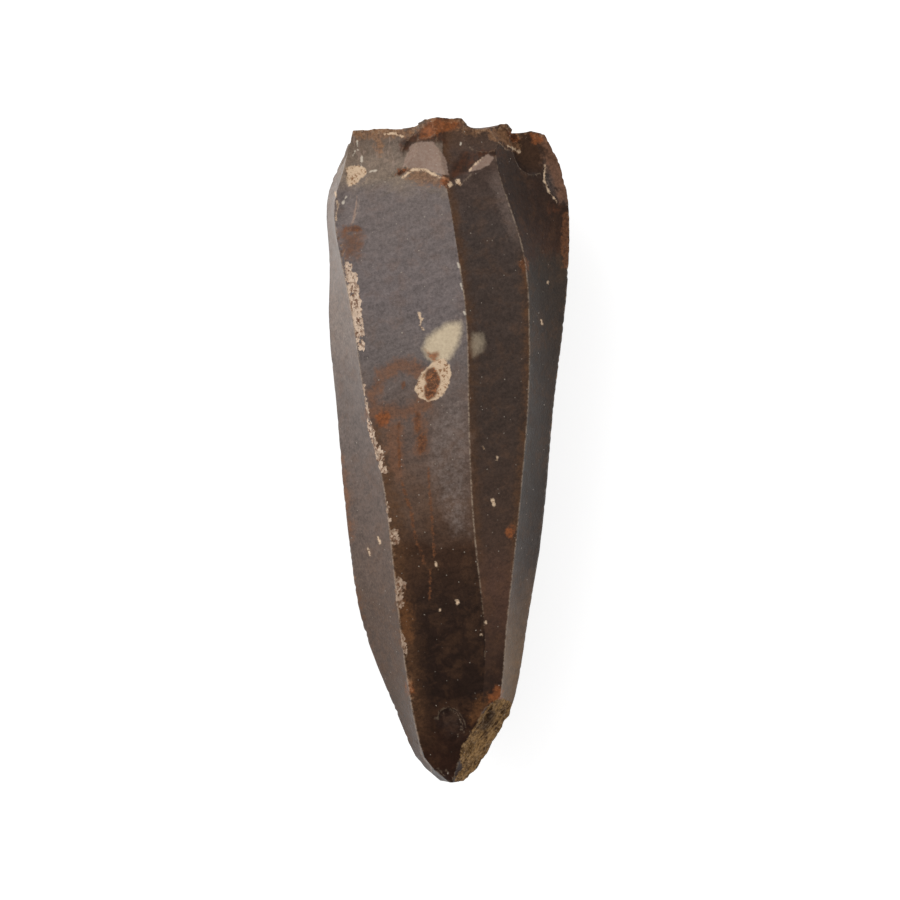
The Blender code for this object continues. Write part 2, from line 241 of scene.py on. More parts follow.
def mark_depths(name, seen):
    """How far inside the nearest mark of that name each place is, in steps, up to MARK_REACH either way."""
    depth = np.full(len(seen), -MARK_REACH)
    for outline in AREAS.get(name, ()):
        depth = np.maximum(depth, inside_by(outline, seen))
    for line in LINES.get(name, ()):
        depth = np.maximum(depth, within_line(line, seen))
    return np.minimum(depth, MARK_REACH)


# Mesh
MERGE = 0.001 * MM
CREASE = math.radians(14.0)
SHARP = math.radians(28.0)
SPLINTERY, FINEST, FINE, PLAIN, COARSE = 0.17 * MM, 0.27 * MM, 0.36 * MM, 0.62 * MM, 1.5 * MM
REFINE_ROUNDS = 7
# An edge is split when it is longer than wanted by this factor
SPLIT_OVER = 1.35
SOFTEN_ROUNDS = 12
SOFTEN_SHARE = 0.5
# How much an edge faces up where the front ends, and where the plain sides end
FRONT_LIFT, SIDE_LIFT = -0.05, -0.35
# Places that need a finer mesh, in steps: down to the scarred top's end, the break, and beside each line
TOP_END = 212
BREAK_TOP, BREAK_LEFT = 696, 450
BESIDE_CREAM, BESIDE_RIDGE, BESIDE_LINE, BESIDE_CRUSH = 3, 4, 1.5, 2

# What the broken surface inside a chip looks like; crushed chips go on from CRUSHED in three tones
SMOOTH, BROWN, CRUSHED = 1, 2, 3
CRUSHED_TONES = 3

# Scars seen on the front: across, down, width, length, bite in millimetres, slant, bluntness, look
FRONT_SCARS = (
    (402, 171, 2.6, 1.5, 0.8, 60, 1.2, SMOOTH),
    (394, 174, 1.6, 1.0, 0.35, 80, 1.0, SMOOTH),
    (453, 181, 2.6, 1.4, 0.30, 75, 1.4, SMOOTH),
    (513, 136, 2.2, 2.8, 0.55, -20, 1.2, SMOOTH),
    (532, 137, 3.6, 2.8, 0.30, 10, 1.2, SMOOTH),
    (357, 175, 3.6, 4.0, 0.24, 10, 1.8, SMOOTH),
    (345, 198, 1.6, 4.2, 0.20, -12, 1.2, SMOOTH),
    (349, 146, 2.4, 7.0, 0.16, -16, 1.2, SMOOTH),
    (409, 145, 4.2, 2.0, 0.55, 62, 1.2, SMOOTH),
    (425, 131, 3.6, 2.6, 0.40, 20, 1.2, SMOOTH),
    (440, 122, 3.2, 2.2, 0.35, 0, 1.2, SMOOTH),
    (450, 727, 4.4, 7.0, 0.14, 12, 1.0, SMOOTH),
    (488, 721, 2.0, 3.4, 0.7, 30, 1.0, SMOOTH),
    (472, 750, 2.0, 2.8, 0.4, 30, 1.0, SMOOTH),
)
# Crushed stretches of a ridge: from and to down the view, reach across it on both sides, chips, size, look
LEFT_RIDGE_CRUSH = (
    (232, 262, -1, 2, 10, 0.6, BROWN),
    (262, 274, -1, 5, 22, 0.8, CRUSHED),
    (274, 302, -1, 9, 90, 0.9, CRUSHED),
    (302, 334, 0, 9, 100, 0.9, CRUSHED),
    (334, 350, 0, 7, 26, 0.8, CRUSHED),
    (350, 385, -1, 2, 12, 0.6, SMOOTH),
    (385, 414, -1, 3, 26, 0.7, CRUSHED),
    (420, 446, -1, 5, 60, 0.8, CRUSHED),
    (446, 472, 0, 8, 76, 0.8, CRUSHED),
    (472, 528, -1, 2, 18, 0.6, SMOOTH),
    (498, 520, -1, 2, 14, 0.7, CRUSHED),
    (530, 544, -1, 8, 30, 0.9, CRUSHED),
    (546, 578, -1, 3, 10, 0.6, BROWN),
    (578, 590, 0, 11, 28, 0.9, CRUSHED),
    (590, 607, -1, 6, 40, 0.8, CRUSHED),
    (636, 652, -1, 4, 16, 0.8, CRUSHED),
    (652, 680, -1, 2, 12, 0.6, SMOOTH),
    (674, 698, -1, 4, 16, 0.7, BROWN),
    (700, 756, -1, 1, 14, 0.5, SMOOTH),
)
MIDDLE_RIDGE_CRUSH = (
    (190, 262, -1, 1, 14, 0.4, SMOOTH),
    (262, 345, -1, 1, 26, 0.4, SMOOTH),
    (345, 560, -1, 1, 30, 0.35, SMOOTH),
)
RIGHT_RIDGE_CRUSH = (
    (170, 265, -1, 1, 14, 0.4, SMOOTH),
    (265, 690, -1, 1, 50, 0.3, SMOOTH),
)
# Bites along the outline, struck from the side: which side, from and to down the view, gap, size, look
OUTLINE_BITES = (
    (1, 150, 215, 10, 0.9, SMOOTH),
    (1, 215, 470, 5, 0.8, BROWN),
    (1, 470, 690, 10, 0.6, SMOOTH),
    (-1, 140, 225, 10, 0.8, SMOOTH),
    (-1, 225, 455, 14, 0.6, SMOOTH),
    (-1, 455, 640, 8, 0.9, BROWN),
    (-1, 640, 770, 10, 0.7, SMOOTH),
)


def as_seen(points):
    """Where points of the stone are seen: steps across and steps down the view."""
    scale = CAMERA_REACH / ((CAMERA_PLACE.z - points[:, 2]) * VIEW_STEP)
    across = VIEW_MIDDLE + (points[:, 0] - CAMERA_PLACE.x) * scale
    down = VIEW_MIDDLE - (points[:, 1] - CAMERA_PLACE.y) * scale
    return np.column_stack((across, down))


def touch(surface, across, down):
    """The point of the stone that is seen at a place in the view, and the way it faces."""
    sight = Vector(((across - VIEW_MIDDLE) * VIEW_STEP, (VIEW_MIDDLE - down) * VIEW_STEP, -CAMERA_REACH))
    hit, facing, _, _ = surface.ray_cast(CAMERA_PLACE, sight.normalized())
    return hit, facing


def line_at(line, down):
    """How far across the view a line stands at a place down it."""
    row = np.array(line, float)
    return np.interp(down, row[:, 1], row[:, 0])


def wanted_length(points, facing_up):
    """How long a mesh edge may be at each point: short where the stone is worn, long where it is hidden."""
    seen = as_seen(points)
    across, down = seen[:, 0], seen[:, 1]
    fine = (down < TOP_END) | ((down > BREAK_TOP) & (across > BREAK_LEFT))
    fine |= np.abs(mark_depths("cream", seen)) < BESIDE_CREAM
    for line in RIDGES:
        fine |= np.abs(across - line_at(line, down)) < BESIDE_RIDGE
    thin = np.zeros(len(seen), bool)
    for name in ("cream", "white", "rust", "pale"):
        for line in LINES[name]:
            thin |= within_line(line, seen) > -BESIDE_LINE
    for line in (MIDDLE_RIDGE, RIGHT_RIDGE):
        thin |= np.abs(across - line_at(line, down)) < BESIDE_LINE
    beside = across - line_at(LEFT_RIDGE, down)
    crushed = np.zeros(len(seen), bool)
    for start, end, near, far, _, _, _ in LEFT_RIDGE_CRUSH:
        along = (down > start - BESIDE_CRUSH) & (down < end + BESIDE_CRUSH)
        crushed |= along & (beside > near - BESIDE_CRUSH) & (beside < far + BESIDE_CRUSH)
    wanted = np.where(crushed, SPLINTERY, np.where(thin, FINEST, np.where(fine, FINE, PLAIN)))
    side = np.where(facing_up > SIDE_LIFT, PLAIN, COARSE)
    return np.where(facing_up > FRONT_LIFT, wanted, side)


def drop_flaps(mesh):
    """Removes faces that lie back to back on the same points, which a cut leaves in very thin triangles."""
    back_to_back = {}
    for edge in mesh.edges:
        if len(edge.link_faces) > 2:
            for face in edge.link_faces:
                back_to_back.setdefault(frozenset(face.verts), set()).add(face)
    flaps = [face for faces in back_to_back.values() if len(faces) > 1 for face in faces]
    bmesh.ops.delete(mesh, geom=flaps, context="FACES")


def refine(mesh):
    """Splits long edges until the mesh is fine enough to carve, and keeps the creases where they are."""
    mesh.normal_update()
    for edge in mesh.edges:
        edge.smooth = edge.calc_face_angle(0.0) < CREASE
    for _ in range(REFINE_ROUNDS):
        mesh.normal_update()
        ends = np.array([(*edge.verts[0].co, *edge.verts[1].co) for edge in mesh.edges])
        lift = np.array([edge.verts[0].normal.z + edge.verts[1].normal.z for edge in mesh.edges]) / 2
        length = np.linalg.norm(ends[:, :3] - ends[:, 3:], axis=1)
        limit = wanted_length((ends[:, :3] + ends[:, 3:]) / 2, lift)
        long = [edge for edge, split in zip(mesh.edges, length > limit * SPLIT_OVER) if split]
        bmesh.ops.subdivide_edges(mesh, edges=long, cuts=1)
        bmesh.ops.triangulate(mesh, faces=[face for face in mesh.faces if len(face.verts) > 3])
        drop_flaps(mesh)
        soft = [edge for edge in mesh.edges if edge.smooth]
        bmesh.ops.beautify_fill(mesh, faces=mesh.faces, edges=soft, method="ANGLE")
    free = [vertex for vertex in mesh.verts if all(edge.smooth for edge in vertex.link_edges)]
    axes = {"use_axis_x": True, "use_axis_y": True, "use_axis_z": True}
    for _ in range(SOFTEN_ROUNDS):
        bmesh.ops.smooth_vert(mesh, verts=free, factor=SOFTEN_SHARE, **axes)


# Where each blade was struck, as seen in the view
STRIKES = ((340, 150), (352, 128), (482, 120), (545, 120))
RIPPLE_LENGTH = 4.6 * MM
RIPPLE_RISE = 0.028 * MM
# How far the ripples wander, and how far they are shifted from one blade scar to the next, in radians
RIPPLE_SWAY = 9
RIPPLE_SHIFT = 2
SWELL_LENGTH = 7.5 * MM
SWELL_RISE = 0.07 * MM
FIBRE_RISE = 0.30 * MM
FIBRE_TURN = math.radians(32)
FIBRE_SIZE = (0.5 * MM, 2.2 * MM, 1.2 * MM)
CRUMB_SIZE = 0.45 * MM
# The fibrous break fades over this many steps, and ends where the stone faces this far down
FIBRE_FADE = 4
FIBRE_END = -0.2


def facet_of(seen, ridges):
    """Which blade scar each place of the view is in: 0 left of the left ridge, to 3 right of the right."""
    return sum((seen[:, 0] > line_at(line, seen[:, 1])).astype(int) for line in ridges)


def relief(points, facings, ridges):
    """How far each point of the stone stands out: its swells, the ripples of each blow, the torn break."""
    seen = as_seen(points)
    facet = facet_of(seen, ridges)
    strike = np.array(STRIKES, float)[facet]
    from_strike = np.linalg.norm(seen - strike, axis=1) * VIEW_STEP
    swell = np.array([noise.noise(Vector(point) / SWELL_LENGTH) for point in points])
    sway = np.array([noise.noise(Vector(point) / (3 * SWELL_LENGTH)) for point in points])
    wave = from_strike / RIPPLE_LENGTH * 2 * math.pi + sway * RIPPLE_SWAY + facet * RIPPLE_SHIFT
    ripple = np.sin(wave) * (0.5 + swell)
    rise = swell * SWELL_RISE + ripple * RIPPLE_RISE
    torn = np.clip(inside_by(CORTEX, seen) / FIBRE_FADE + 0.5, 0, 1) * (facings[:, 2] > FIBRE_END)
    fibre = np.zeros(len(points))
    for place in np.nonzero(torn)[0]:
        point = Matrix.Rotation(FIBRE_TURN, 3, "Z") @ Vector(points[place])
        fibre[place] = noise.noise(Vector([part / size for part, size in zip(point, FIBRE_SIZE)]))
        fibre[place] += 0.5 * noise.noise(point / CRUMB_SIZE)
    return rise * (1 - torn) + torn * (fibre - 0.3) * FIBRE_RISE


# A chip that luck turns is an angular block, as wide as a ball of radius 1 holds
BLOCK_SIZE = 1.25
LEAST_LEAN = 0.001
# A cutter is this much deeper than its bite, and this much wider and longer than its scar
CUTTER_DEPTH = 2.5
CUTTER_WIDTH = 1.25
# Points farther than this from a cutter's middle, as a share of its longest half, can't be inside it
CUTTER_REACH = 1.2
# A bowl isn't quite round: how far it swells, how many swells it has, and what tells bowls apart
BOWL_WAVE = 0.16
BOWL_WAVES = 1.3
BOWL_SPREAD = 900
# A chip that faces along the core more than this runs downwards, and any other one towards the tip
STEEP = 0.8


class Skin:
    """The points of the stone's surface, how far chips have dropped each, and the look of the last chip."""

    def __init__(self, points):
        self.points = points
        self.looks = np.zeros(len(points))
        self.drops = np.zeros(len(points))


def bowl_drop(place):
    """How far each place inside a ball of radius 1 lies above the ball's floor; 0 outside it."""
    room = 1 - place[:, 0] ** 2 - place[:, 1] ** 2
    floor = np.sqrt(np.clip(room, 0, 1))
    return np.where((room > 0) & (place[:, 2] < floor), np.clip(place[:, 2] + floor, 0, None), 0)


def block_drop(place, turn):
    """How far each place inside a turned block lies above the block's floor; 0 outside it."""
    walls = np.vstack((turn, -turn))
    room = BLOCK_SIZE / 2 - place @ walls.T
    lean = -walls[:, 2]
    under = lean > LEAST_LEAN
    return np.where((room > 0).all(axis=1), (room[:, under] / lean[under]).min(axis=1), 0)


def chip(skin, middle, outwards, slant, size, blunt, look, luck=None):
    """Bites a small scar out of the stone: points inside the cutter move on to its floor."""
    width, length, bite = size
    down = Vector((0.0, -1.0, 0.0)) if abs(outwards.y) < STEEP else Vector((0.0, 0.0, -1.0))
    down = (down - outwards * down.dot(outwards)).normalized()
    down = Matrix.Rotation(math.radians(slant), 3, outwards) @ down
    side = down.cross(outwards)
    depth, wide, long = bite * CUTTER_DEPTH, width / 2 * CUTTER_WIDTH, length / 2 * CUTTER_WIDTH
    away = skin.points - np.array(middle + outwards * (depth - bite))
    near = np.nonzero((away ** 2).sum(axis=1) < (CUTTER_REACH * max(depth, wide, long)) ** 2)[0]
    place = away[near] @ np.array((side / wide, down / long, outwards / depth)).T
    place[:, 1] = np.sign(place[:, 1]) * np.abs(place[:, 1]) ** blunt
    if luck:
        turn = Matrix.Rotation(luck.uniform(0, math.pi), 3, luck_axis(luck))
        drop = block_drop(place, np.array(turn))
    else:
        waves = [noise.noise(Vector(spot) * BOWL_WAVES + middle * BOWL_SPREAD) for spot in place]
        swell = np.array([1 + BOWL_WAVE * wave for wave in waves])
        drop = bowl_drop(place / swell.reshape(-1, 1))
    struck = drop > 0
    skin.points[near[struck]] -= np.outer(drop[struck] * depth, np.array(outwards))
    skin.drops[near[struck]] += drop[struck] * depth
    skin.looks[near[struck]] = look


def luck_axis(luck):
    """A direction chosen by luck."""
    return Vector((luck.gauss(0, 1), luck.gauss(0, 1), luck.gauss(0, 1))).normalized()


# How far to each side of a ridge the stone's facing is read, in steps
BESIDE_FACING = 7
# What luck chooses for a chip on a ridge: its span as a share of the stretch's size, its width, length and
# depth as shares of the span, its slant in degrees, and how blunt its ends are
CRUSH_SPAN, CRUSH_WIDTH, CRUSH_LENGTH, CRUSH_DEPTH = (0.6, 1.3), (0.7, 1.2), (0.8, 1.6), (0.12, 0.24)
CRUSH_SLANT, CRUSH_BLUNT = (-50, 50), (1.0, 1.4)
# The same for bites along the outline, with how far they are struck from above and the gap between them
BITE_RISE, BITE_SPAN, BITE_LENGTH, BITE_DEPTH = (0.0, 0.9), (0.6, 1.3), (0.8, 1.6), (0.08, 0.18)
BITE_SLANT, BITE_GAP = (-20, 20), (0.6, 1.5)
# The outline is looked for from this far out, in steps, and not nearer to the middle than this
OUTLINE_REACH, OUTLINE_NEAREST = 130, 2
SEARCH_STEP = 0.5
# Nibbles of the platform's edge: where they are in the view, and what luck chooses for each
EDGE_LEFT, EDGE_RIGHT, EDGE_TOP, EDGE_BOTTOM = 352, 548, 100, 200
EDGE_BELOW, EDGE_SPAN, EDGE_LENGTH, EDGE_DEPTH = (0.0, 5.0), (0.6, 1.6), (0.7, 1.5), (0.10, 0.20)
EDGE_SLANT, EDGE_GAP = (-30, 30), (1.4, 4.0)
BITE_BLUNT = 1.2
# What is added to the way the stone faces, for how a chip on the front or on the platform's edge was struck
FRONT_AIM = Vector((0.0, 0.0, 0.6))
EDGE_AIM = Vector((0.0, 0.9, 0.5))
CHIP_LUCK = 31


def crush_ridge(skin, surface, line, stretches, luck):
    """Chips along a ridge. Each chip faces halfway between the two scars that meet there."""
    for start, end, near, far, count, size, look in stretches:
        for _ in range(count):
            down = luck.uniform(start, end)
            middle = line_at(line, down)
            across = middle + luck.uniform(near, far)
            hit, facing = touch(surface, across, down)
            _, left = touch(surface, middle - BESIDE_FACING, down)
            _, right = touch(surface, middle + BESIDE_FACING, down)
            span = size * luck.uniform(*CRUSH_SPAN) * MM
            wide = luck.uniform(*CRUSH_WIDTH)
            long = luck.uniform(*CRUSH_LENGTH)
            deep = luck.uniform(*CRUSH_DEPTH)
            slant = luck.uniform(*CRUSH_SLANT)
            blunt = luck.uniform(*CRUSH_BLUNT)
            tone = luck.randrange(CRUSHED_TONES) if look == CRUSHED else 0
            if hit is None or left is None or right is None:
                continue
            outwards = (facing + left + right).normalized()
            sizes = (span * wide, span * long, span * deep)
            chip(skin, hit, outwards, slant, sizes, blunt, look + tone, luck)


def nibble_outline(skin, surface, luck):
    """Small bites along the left and right outline, struck from the side."""
    for side, start, end, gap, size, look in OUTLINE_BITES:
        down = start
        while down < end:
            across = VIEW_MIDDLE + side * OUTLINE_REACH
            hit = None
            while hit is None and abs(across - VIEW_MIDDLE) > OUTLINE_NEAREST:
                across -= side * SEARCH_STEP
                hit, _ = touch(surface, across, down)
            outwards = Vector((side, 0.0, luck.uniform(*BITE_RISE))).normalized()
            span = size * luck.uniform(*BITE_SPAN) * MM
            sizes = (span, span * luck.uniform(*BITE_LENGTH), span * luck.uniform(*BITE_DEPTH))
            if hit is not None:
                chip(skin, hit, outwards, luck.uniform(*BITE_SLANT), sizes, BITE_BLUNT, look, luck)
            down += gap * luck.uniform(*BITE_GAP)


def nibble_platform_edge(skin, surface, luck):
    """Small flakes struck off the front of the platform's edge."""
    across = EDGE_LEFT
    while across < EDGE_RIGHT:
        down, hit = EDGE_TOP, None
        while hit is None and down < EDGE_BOTTOM:
            down += SEARCH_STEP
            hit, _ = touch(surface, across, down)
        spot, facing = touch(surface, across, down + 1 + luck.uniform(*EDGE_BELOW))
        span = luck.uniform(*EDGE_SPAN) * MM
        sizes = (span, span * luck.uniform(*EDGE_LENGTH), span * luck.uniform(*EDGE_DEPTH))
        if spot is not None:
            outwards = (facing + EDGE_AIM).normalized()
            chip(skin, spot, outwards, luck.uniform(*EDGE_SLANT), sizes, BITE_BLUNT, BROWN, luck)
        across += luck.uniform(*EDGE_GAP)


def strike_chips(mesh, points):
    """Carves all the small scars into the points of the mesh, and gives the skin that they leave."""
    surface = BVHTree.FromBMesh(mesh)
    skin = Skin(points)
    luck = random.Random(CHIP_LUCK)
    for across, down, width, length, bite, slant, blunt, look in FRONT_SCARS:
        hit, facing = touch(surface, across, down)
        outwards = (facing + FRONT_AIM).normalized()
        chip(skin, hit, outwards, slant, (width * MM, length * MM, bite * MM), blunt, look)
    crush_ridge(skin, surface, LEFT_RIDGE, LEFT_RIDGE_CRUSH, luck)
    crush_ridge(skin, surface, MIDDLE_RIDGE, MIDDLE_RIDGE_CRUSH, luck)
    crush_ridge(skin, surface, RIGHT_RIDGE, RIGHT_RIDGE_CRUSH, luck)
    nibble_outline(skin, surface, luck)
    nibble_platform_edge(skin, surface, luck)
    return skin


# A ridge's line is laid on the creases near it: the gap between its places, how near a crease has to be
# across and down the view, and how many points of it have to be there
LINE_GAP = 6.0
CREASE_ACROSS, CREASE_DOWN, CREASE_POINTS = 6, 5, 2


def on_creases(line, creases):
    """The line shifted sideways on to the creases of the stone that run close beside it."""
    places = np.arange(line[0][1], line[-1][1] + 1, LINE_GAP)
    across = line_at(line, places)
    for number, (at, down) in enumerate(zip(across.copy(), places)):
        beside = (np.abs(creases[:, 1] - down) < CREASE_DOWN) & (np.abs(creases[:, 0] - at) < CREASE_ACROSS)
        near = creases[beside]
        if len(near) > CREASE_POINTS:
            across[number] += np.median(near[:, 0] - line_at(line, near[:, 1]))
    return np.column_stack((across, places))


def numbers(data, what, name, width=3):
    """One property of every element of a mesh, as an array."""
    elements = getattr(data, what)
    flat = np.zeros(len(elements) * width, np.int32 if width == 1 else np.float32)
    elements.foreach_get(name, flat)
    return flat.reshape(-1, width).astype(float)


def write_attribute(data, name, kind, domain, values):
    """Keeps an array on the mesh, for its material to read."""
    attribute = data.attributes.new(name, kind, domain)
    field = "vector" if kind == "FLOAT_VECTOR" else "value"
    attribute.data.foreach_set(field, np.ascontiguousarray(values, np.float32).ravel())


def ramp_up(values, low, high):
    """0 below low and 1 above high, and a straight ramp between."""
    return np.clip((values - low) / (high - low), 0.0, 1.0)


# How far up a point faces where the front's colours begin, and where they are full
FRONT_FADE = (-0.14, 0.0)
# The marks, three to each attribute
MARKS = (
    ("cream", "pale", "cortex"),
    ("rust", "orange", "brown"),
    ("haze", "smoke", "dark"),
    ("tan", "white", "glow"),
)


def note_places(data, ridges, skin):
    """Writes on the mesh where each point is seen, which marks it is in, and the look of each face."""
    points = numbers(data, "vertices", "co")
    facings = numbers(data, "vertex_normals", "vector")
    seen = as_seen(points)
    front = ramp_up(facings[:, 2], *FRONT_FADE)
    write_attribute(data, "seen", "FLOAT_VECTOR", "POINT", np.column_stack((seen, front)))
    beside = [seen[:, 0] - line_at(line, seen[:, 1]) for line in ridges]
    write_attribute(data, "beside", "FLOAT_VECTOR", "POINT", np.column_stack(beside))
    for number, names in enumerate(MARKS):
        depths = [mark_depths(name, seen) for name in names]
        write_attribute(data, f"marks_{number}", "FLOAT_VECTOR", "POINT", np.column_stack(depths))
    middles = numbers(data, "polygons", "center")
    facet = facet_of(as_seen(middles), ridges)
    write_attribute(data, "facet", "FLOAT", "FACE", facet)
    corners = numbers(data, "loops", "vertex_index", 1).astype(int).reshape(-1, 3)
    write_attribute(data, "look", "FLOAT", "FACE", np.median(skin.looks[corners], axis=1))
    write_attribute(data, "struck", "FLOAT", "POINT", skin.drops / MM)


def note_edges(data):
    """Marks the points on sharp outward edges, where thin stone lets light through."""
    mesh = bmesh.new()
    mesh.from_mesh(data)
    keen = np.zeros(len(mesh.verts), np.float32)
    for edge in mesh.edges:
        if edge.calc_face_angle_signed(0.0) > SHARP:
            for vertex in edge.verts:
                keen[vertex.index] = 1.0
    mesh.free()
    write_attribute(data, "keen", "FLOAT", "POINT", keen)


def make_stone(node):
    """The stone: the solid's own form, made finer, with its relief and its small scars."""
    mesh = bmesh.new()
    mesh.from_mesh(node.data)
    bmesh.ops.remove_doubles(mesh, verts=mesh.verts, dist=MERGE)
    refine(mesh)
    mesh.verts.ensure_lookup_table()
    creased = [vertex for vertex in mesh.verts if any(not edge.smooth for edge in vertex.link_edges)]
    creases = as_seen(np.array([vertex.co for vertex in creased if vertex.normal.z > 0]))
    ridges = [on_creases(line, creases) for line in RIDGES]
    mesh.normal_update()
    points = np.array([vertex.co for vertex in mesh.verts])
    facings = np.array([vertex.normal for vertex in mesh.verts])
    points += facings * relief(points, facings, ridges).reshape(-1, 1)
    place_points(mesh, points)
    skin = strike_chips(mesh, points)
    place_points(mesh, points)
    data = bpy.data.meshes.new("flint_stone")
    mesh.to_mesh(data)
    mesh.free()
    stone = bpy.data.objects.new("flint_stone", data)
    bpy.context.scene.collection.objects.link(stone)
    note_places(data, ridges, skin)
    note_edges(data)
    data.shade_smooth()
    data.set_sharp_from_angle(angle=SHARP)
    return stone


def place_points(mesh, points):
    """Moves the mesh's points to new places, all held inside the solid's own box."""
    low, high = CAD_BOX
    np.clip(points, np.array(low), np.array(high), out=points)
    for vertex, point in zip(mesh.verts, points):
        vertex.co = point
    mesh.normal_update()


class Value:
    """A socket of a material's nodes, which can be used in sums."""

    def __init__(self, finish, socket):
        self.finish = finish
        self.socket = socket

    def maths(self, operation, *terms):
        return self.finish.node("Math", {"operation": operation}, dict(enumerate(terms)))

    def __add__(self, other):
        return self.maths("ADD", self, other)

    __radd__ = __add__

    def __sub__(self, other):
        return self.maths("SUBTRACT", self, other)

    def __rsub__(self, other):
        return self.maths("SUBTRACT", other, self)

    def __mul__(self, other):
        return self.maths("MULTIPLY", self, other)

    __rmul__ = __mul__

    def size(self):
        return self.maths("ABSOLUTE", self)

    def most(self, other):
        return self.maths("MAXIMUM", self, other)

    def is_number(self, number):
        return self.maths("COMPARE", self, number, 0.5)


class Finish:
    """A material that is being made, with one method that adds every kind of node."""

    def __init__(self, name):
        self.material = bpy.data.materials.new(name)
        self.material.use_nodes = True
        self.tree = self.material.node_tree
        self.shader = self.tree.nodes["Principled BSDF"]

    def fill(self, socket, value):
        """Sets a socket to a value, or links it."""
        if isinstance(value, Value):
            self.tree.links.new(value.socket, socket)
        else:
            socket.default_value = value

    def node(self, kind, settings, sockets, output=0):
        """Adds a node, with its settings first and then its sockets, and gives one of its outputs."""
        node = self.tree.nodes.new("ShaderNode" + kind)
        for name, setting in settings.items():
            if name == "stops":
                self.set_stops(node.color_ramp, setting)
            else:
                setattr(node, name, setting)
        for name, value in sockets.items():
            self.fill(node.inputs[name], value)
        return Value(self, node.outputs[output])

    @staticmethod
    def set_stops(ramp, stops):
        """Gives a ramp its stops, each a position and a colour."""
        while len(ramp.elements) < len(stops):
            ramp.elements.new(1.0)
        for element, (position, colour) in zip(ramp.elements, stops):
            element.position = position
            element.color = colour

    def split(self, vector):
        """The three parts of a vector."""
        node = self.tree.nodes.new("ShaderNodeSeparateXYZ")
        self.fill(node.inputs[0], vector)
        return [Value(self, output) for output in node.outputs]

    def attribute(self, name):
        return self.node("Attribute", {"attribute_name": name}, {}, "Vector")

    def number(self, name):
        return self.node("Attribute", {"attribute_name": name}, {}, "Fac")

    def paint(self, under, over, mask):
        """One colour laid over another where the mask is 1."""
        return self.node("Mix", {"data_type": "RGBA"}, {0: mask, 6: under, 7: over}, 2)

    def shade(self, colour, amount):
        """A colour made lighter or darker by a grey amount."""
        colour = colour if isinstance(colour, Value) else colour[:3]
        return self.node("VectorMath", {"operation": "SCALE"}, {0: colour, "Scale": amount})

    def rise(self, value, low, high):
        """A soft step: 0 at low and 1 at high."""
        sockets = {"Value": value, "From Min": low, "From Max": high}
        return self.node("MapRange", {"interpolation_type": "SMOOTHSTEP"}, sockets)

    def noise(self, vector, size, detail=2.0, rough=0.5, bend=0.0):
        """Cloudy noise from 0 to 1 whose clouds are about size metres wide."""
        sockets = {
            "Vector": vector,
            "Scale": 1 / size,
            "Detail": detail,
            "Roughness": rough,
            "Distortion": bend,
        }
        return self.rise(self.node("TexNoise", {}, sockets), 0.27, 0.73)

    def cells(self, vector, size, output="Distance", luck=1.0):
        """Scattered cells about size metres wide."""
        sockets = {"Vector": vector, "Scale": 1 / size, "Randomness": luck}
        return self.node("TexVoronoi", {}, sockets, output)

    def stretch(self, vector, scale, turn=0.0):
        """Coordinates turned about the view's axis and then stretched."""
        sockets = {"Vector": vector, "Rotation": (0.0, 0.0, math.radians(turn))}
        turned = self.node("Mapping", {}, sockets)
        return self.node("VectorMath", {"operation": "MULTIPLY"}, {0: turned, 1: scale})


def tint(red, green, blue):
    """A colour from its three screen values, up to 255."""
    parts = [value / 255 for value in (red, green, blue)]
    return (*(part / 12.92 if part <= 0.04045 else ((part + 0.055) / 1.055) ** 2.4 for part in parts), 1.0)


# Where the stone's colours start and end, in steps down the view
VIEW_TOP, VIEW_BOTTOM = 117, 783


def down_stops(*rows):
    """Ramp stops from rows of how far down the view, and a colour's three screen values."""
    return [((down - VIEW_TOP) / (VIEW_BOTTOM - VIEW_TOP), tint(*colour)) for down, *colour in rows]


# The stone's colour down each blade scar, from the platform to the tip. The grey of the main scar's upper
# part is partly the stone's own grey and partly a painted sheen from the light at the upper left; below it
# the stone browns towards the tip.
LEFT_SCAR = down_stops(
    (150, 118, 103, 94), (190, 134, 121, 113), (330, 127, 114, 106), (400, 109, 97, 91), (480, 105, 91, 84),
    (560, 98, 82, 73), (640, 88, 71, 61), (700, 80, 62, 50), (770, 62, 42, 30),
)
MAIN_SCAR_AND_SHEEN = down_stops(
    (135, 108, 92, 80), (172, 130, 114, 100), (192, 116, 105, 101), (300, 114, 104, 102), (360, 108, 98, 94),
    (430, 101, 84, 75), (510, 92, 71, 58), (548, 62, 42, 30), (600, 47, 32, 24), (690, 38, 24, 17),
    (775, 46, 24, 13),
)
MIDDLE_SCAR = down_stops(
    (130, 84, 64, 52), (165, 77, 62, 55), (230, 73, 62, 57), (265, 71, 59, 53), (420, 67, 54, 47),
    (520, 73, 55, 45), (590, 84, 59, 47), (640, 68, 47, 36), (700, 42, 26, 18), (770, 46, 26, 14),
)
RIGHT_SCAR = down_stops(
    (135, 66, 45, 31), (165, 50, 35, 27), (215, 48, 31, 22), (252, 56, 34, 22), (264, 52, 41, 33),
    (400, 51, 39, 31), (470, 50, 40, 33), (560, 58, 46, 39), (592, 84, 65, 51), (660, 106, 84, 63),
    (720, 94, 72, 52),
)
HIDDEN, HIDDEN_DARK, HIDDEN_LIGHT = tint(88, 78, 74), tint(62, 50, 44), tint(112, 100, 92)
HIDDEN_TIP, LIT_STRIP = tint(58, 38, 26), tint(108, 92, 84)
CREAM, GLOW, PALE, GLINT_WHITE = tint(214, 186, 156), tint(208, 190, 161), tint(152, 131, 118), tint(222, 210, 192)
TAN, TAN_DEEP = tint(152, 112, 80), tint(92, 62, 42)
RUST, RUST_DEEP, ORANGE = tint(126, 80, 50), tint(80, 50, 33), tint(158, 92, 50)
HAZE, HAZE_LOW = tint(115, 82, 63), tint(96, 62, 36)
BROWN_SPOT, DARK_AND_SHADOW = tint(84, 50, 32), tint(50, 36, 28)
SMOKE, BAND = tint(118, 106, 100), tint(90, 62, 41)
